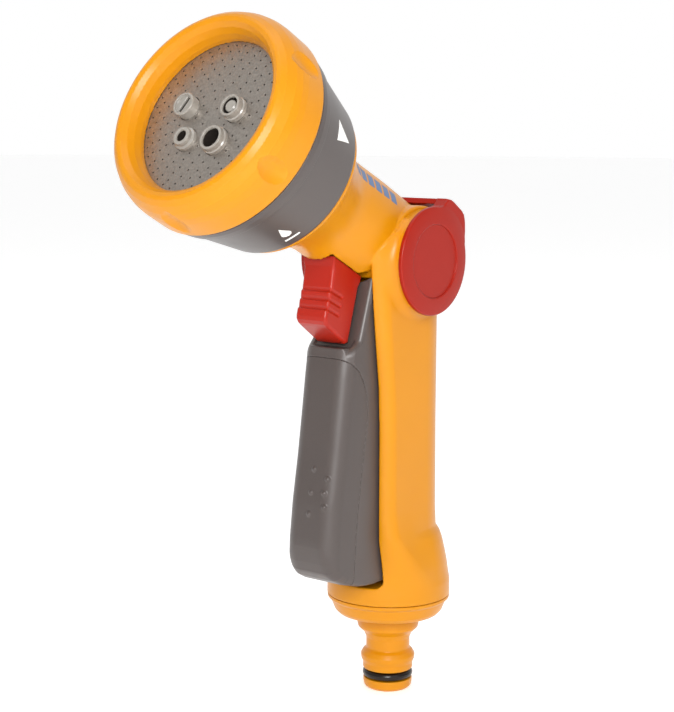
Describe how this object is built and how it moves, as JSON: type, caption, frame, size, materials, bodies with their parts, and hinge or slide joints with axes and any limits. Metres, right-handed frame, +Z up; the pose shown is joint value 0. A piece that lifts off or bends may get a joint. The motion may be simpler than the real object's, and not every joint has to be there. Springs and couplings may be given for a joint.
{
  "type": "hose spray gun",
  "caption": "Pistol-style garden hose spray gun with a rotating multi-pattern head, squeeze trigger with slide lock, saddle flow lever and click-on hose inlet.",
  "frame": {"origin": "centre of the hose nipple's tip face, on the handle's axis", "axes": "+Z up along the handle's axis away from the hose, -Y towards the spray, +X the side of the gun seen on its left when looking along the spray"},
  "size_m": [0.0628, 0.1196, 0.2086],
  "materials": {
    "orange_plastic": "satin moulded plastic, warm yellow-orange",
    "grey_plastic": "satin moulded plastic, warm dark grey",
    "grey_soft_plastic": "soft-feel moulded plastic, warm dark grey",
    "red_plastic": "satin moulded plastic, red",
    "rose_metal": "matt perforated plate, warm grey",
    "pale_plastic": "translucent natural plastic",
    "black_rubber": "moulded seal rubber",
    "brass": "turned",
    "steel": "stainless, turned or drawn"
  },
  "bodies": {
    "gun_body": {"main_body": "orange_plastic", "end_cap": "orange_plastic", "inlet_nipple": "orange_plastic", "inlet_oring": "black_rubber", "cap_seal": "black_rubber", "valve_seat": "brass", "gland_bush": "brass", "stem_seal": "black_rubber", "pivot_pin": "steel", "port_seal": "black_rubber", "port_spring": "steel", "head_screw": "steel", "valve_spring": "steel"},
    "valve": {"valve_stem": "steel", "valve_washer": "black_rubber"},
    "trigger": {"trigger_lever": "grey_plastic", "trigger_grip": "grey_soft_plastic"},
    "lock": {"trigger_lock": "red_plastic"},
    "flow_control": {"flow_lever": "red_plastic", "flow_spool": "pale_plastic", "spool_oring_l": "black_rubber", "spool_oring_r": "black_rubber"},
    "head": {"selector_ring": "grey_plastic", "bezel_ring": "orange_plastic", "rose_plate": "rose_metal", "rose_gasket": "black_rubber", "diverter_block": "pale_plastic", "nozzle_flat": "pale_plastic", "nozzle_jet": "pale_plastic", "nozzle_fill": "pale_plastic", "nozzle_cone": "pale_plastic", "cone_core": "pale_plastic"}
  },
  "joints": [
    {"name": "trigger_squeeze", "type": "hinge", "parent": "gun_body", "child": "trigger", "pos_m": [0, -0.0185, 0.1265], "axis": [1, 0, 0], "range_deg": [0, 6]},
    {"name": "valve_slide", "type": "slide", "parent": "gun_body", "child": "valve", "axis": [0, 1, 0], "range_m": [0, 0.0027], "deforming": ["valve_spring"]},
    {"name": "lock_slide", "type": "slide", "parent": "trigger", "child": "lock", "axis": [0, 0.2836, 0.959], "range_m": [0, 0.004]},
    {"name": "flow_turn", "type": "hinge", "parent": "gun_body", "child": "flow_control", "pos_m": [0, -0.004, 0.13756], "axis": [-1, 0, 0], "range_deg": [0, 50]},
    {"name": "head_turn", "type": "hinge", "parent": "gun_body", "child": "head", "pos_m": [0, 0, 0.13743], "axis": [0, -0.885, 0.4656], "continuous": true}
  ],
  "couplings": [
    {"joint": "valve_slide", "follows": "trigger_squeeze", "m_per_rad": 0.0255}
  ]
}
